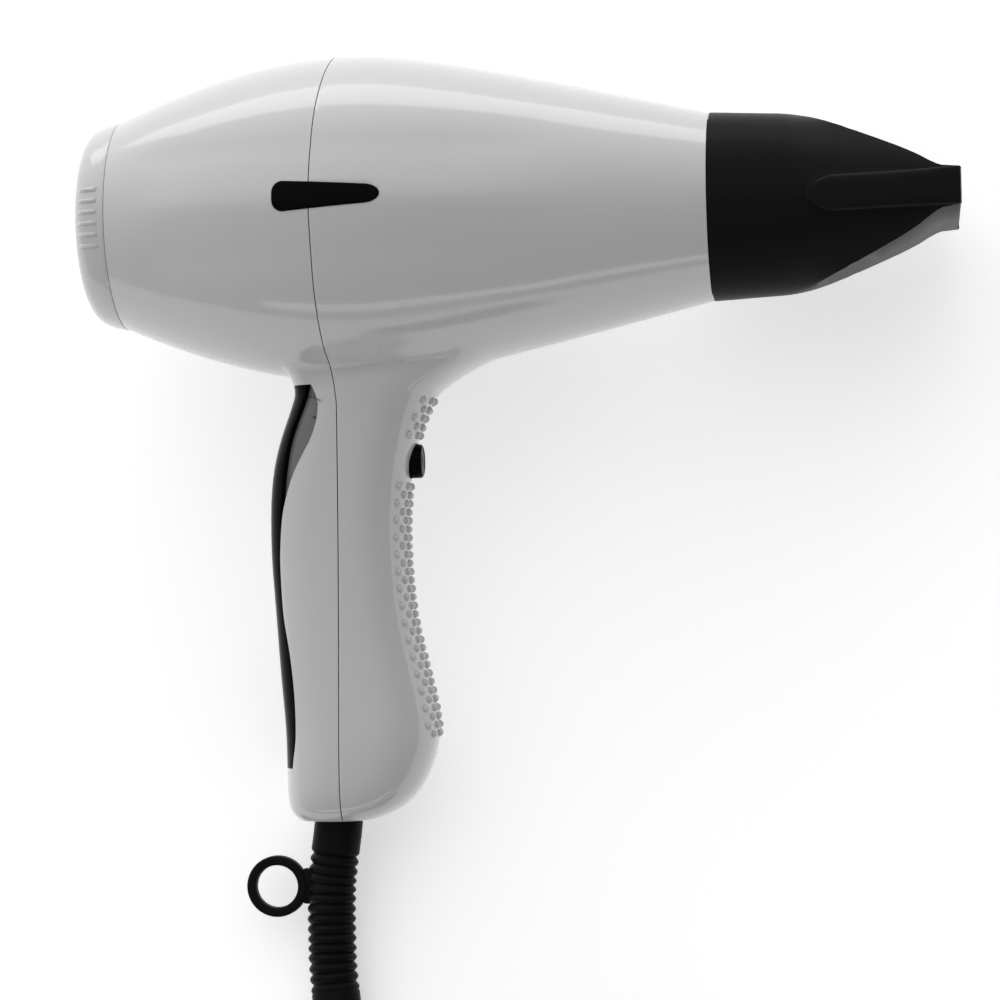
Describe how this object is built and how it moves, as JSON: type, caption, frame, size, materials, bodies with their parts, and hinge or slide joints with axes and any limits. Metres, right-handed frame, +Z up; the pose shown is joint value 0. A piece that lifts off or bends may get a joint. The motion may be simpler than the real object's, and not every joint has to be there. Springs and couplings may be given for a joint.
{
  "type": "hair dryer",
  "caption": "Hand-held hair dryer lying on its side, with a flat nozzle, twist-off rear cap, rocker switches, cool-shot button, ribbed cord guard with a hanging loop, and a coiled mains cord.",
  "frame": {"origin": "bottom centre of the dryer as it lies on its side, measured without its cord, coil and plug", "axes": "+X along the barrel towards the nozzle, +Y from the handle towards the barrel, +Z up"},
  "size_m": [0.258, 0.4726, 0.0967],
  "materials": {
    "shell": "gloss",
    "black_gloss": "gloss",
    "black_satin": "satin",
    "mid_grey": "satin",
    "rubber": "matte",
    "steel": "brushed",
    "nickel": "polished",
    "bronze": "satin",
    "heating_wire": "satin",
    "mica": "satin",
    "ceramic": "matte",
    "foam": "matte"
  },
  "bodies": {
    "housing": {"front_shell": "shell", "rear_shell": "shell", "grip_nubs": "shell", "outlet_collar": "black_satin", "outlet_grille": "steel", "heat_tube": "mica", "heater_boards": "mica", "heater_wires": "heating_wire", "thermostat": "ceramic", "thermal_fuse": "steel", "fan_shroud": "black_satin", "motor_can": "steel", "motor_bearings": "bronze", "badge_left": "black_gloss", "badge_right": "black_gloss", "shell_screws": "steel", "switch_bezel": "black_gloss", "switch_surround": "mid_grey", "switch_block": "black_satin", "cool_spring": "steel", "cool_switch": "black_satin", "cord_clamp": "black_satin", "clamp_screws": "steel", "cord_guard": "rubber", "cord_run": "rubber", "cord_coil": "rubber", "cord_tie": "black_satin", "cord_tail": "rubber", "plug_body": "rubber", "plug_pins": "nickel"},
    "nozzle_body": {"nozzle": "black_satin"},
    "cap_body": {"rear_cap": "shell", "intake_mesh": "steel", "filter_foam": "foam"},
    "rotor": {"fan_impeller": "black_satin", "motor_shaft": "steel"},
    "speed_key": {"speed_rocker": "black_gloss"},
    "heat_key": {"heat_rocker": "black_gloss"},
    "cool_key": {"cool_button": "black_gloss"}
  },
  "joints": [
    {"name": "nozzle_spin", "type": "hinge", "parent": "housing", "child": "nozzle_body", "pos_m": [-0.055, 0.09398, 0.048], "axis": [1, 0, 0], "continuous": true},
    {"name": "rear_cap_twist", "type": "hinge", "parent": "housing", "child": "cap_body", "pos_m": [-0.118, 0.09398, 0.048], "axis": [1, 0, 0], "range_deg": [0, 20]},
    {"name": "fan_spin", "type": "hinge", "parent": "housing", "child": "rotor", "pos_m": [-0.095, 0.09398, 0.048], "axis": [1, 0, 0], "continuous": true},
    {"name": "speed_rocker_tilt", "type": "hinge", "parent": "housing", "child": "speed_key", "pos_m": [-0.06919, 0.01257, 0.0327], "axis": [0, 0.1847, -0.9828], "range_deg": [-8, 8]},
    {"name": "heat_rocker_tilt", "type": "hinge", "parent": "housing", "child": "heat_key", "pos_m": [-0.06919, -0.0063, 0.02915], "axis": [0, 0.1847, -0.9828], "range_deg": [-8, 8]},
    {"name": "cool_button_press", "type": "slide", "parent": "housing", "child": "cool_key", "axis": [-1, 0, 0], "range_m": [0, 0.002], "stiffness_N_per_m": 400, "springref_m": -0.002, "deforming": ["cool_spring"]}
  ]
}
